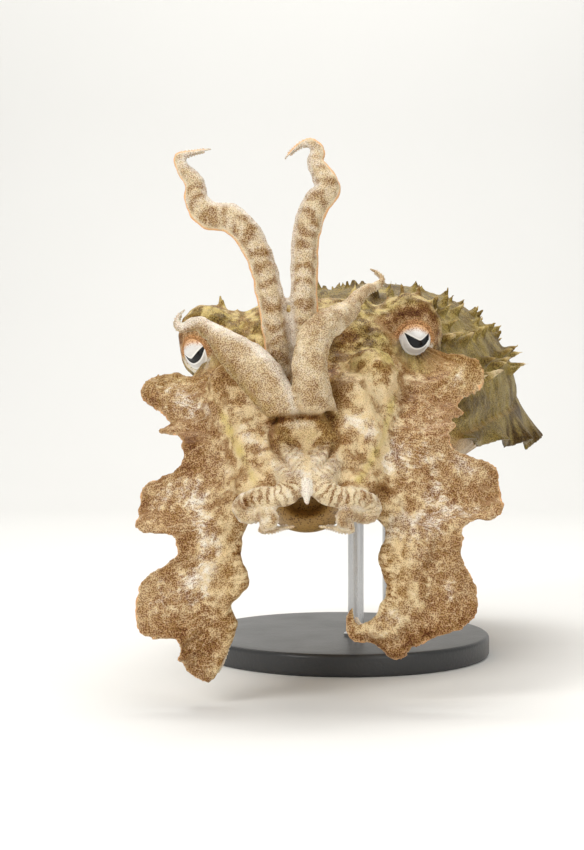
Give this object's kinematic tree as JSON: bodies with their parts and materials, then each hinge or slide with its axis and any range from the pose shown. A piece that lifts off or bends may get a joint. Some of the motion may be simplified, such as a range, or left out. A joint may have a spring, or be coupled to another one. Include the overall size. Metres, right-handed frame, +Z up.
{
  "type": "broadclub cuttlefish model",
  "caption": "Life-size cuttlefish with raised and hanging arms, frilled fins and pointed skin flaps, held level on a display stand.",
  "frame": {"origin": "centre of the underside of the stand's foot", "axes": "+Z up, the animal faces -Y, its left side is towards +X"},
  "size_m": [0.1548, 0.2759, 0.1802],
  "materials": {
    "skin": "moist skin in mottled brown, with cream and olive patches",
    "arm_skin": "moist skin, paler, banded and blotched in brown with an orange rim",
    "funnel_skin": "smooth moist skin, brown with fine dots",
    "eye_silver": "glossy silver iris with a black U-shaped pupil",
    "stand_paint": "satin dark grey paint",
    "stand_steel": "brushed round bar"
  },
  "bodies": {
    "root": {"mantle": "skin", "fin_right": "skin", "fin_left": "skin", "head": "skin", "eye_right": "eye_silver", "eye_left": "eye_silver", "funnel": "funnel_skin", "crown": "skin", "arm_1_right_base": "arm_skin", "arm_1_right_tip": "arm_skin", "arm_1_left_base": "arm_skin", "arm_1_left_tip": "arm_skin", "arm_2_right_base": "arm_skin", "arm_2_right_tip": "arm_skin", "arm_2_left_base": "arm_skin", "arm_2_left_tip": "arm_skin", "arm_3_right_base": "arm_skin", "arm_3_right_tip": "arm_skin", "arm_3_left_base": "arm_skin", "arm_3_left_tip": "arm_skin", "arm_4_right_base": "arm_skin", "arm_4_right_tip": "arm_skin", "arm_4_left_base": "arm_skin", "arm_4_left_tip": "arm_skin", "tentacle_tips": "arm_skin", "stand_foot": "stand_paint", "stand_rod_front": "stand_steel", "stand_rod_rear": "stand_steel"}
  },
  "joints": []
}
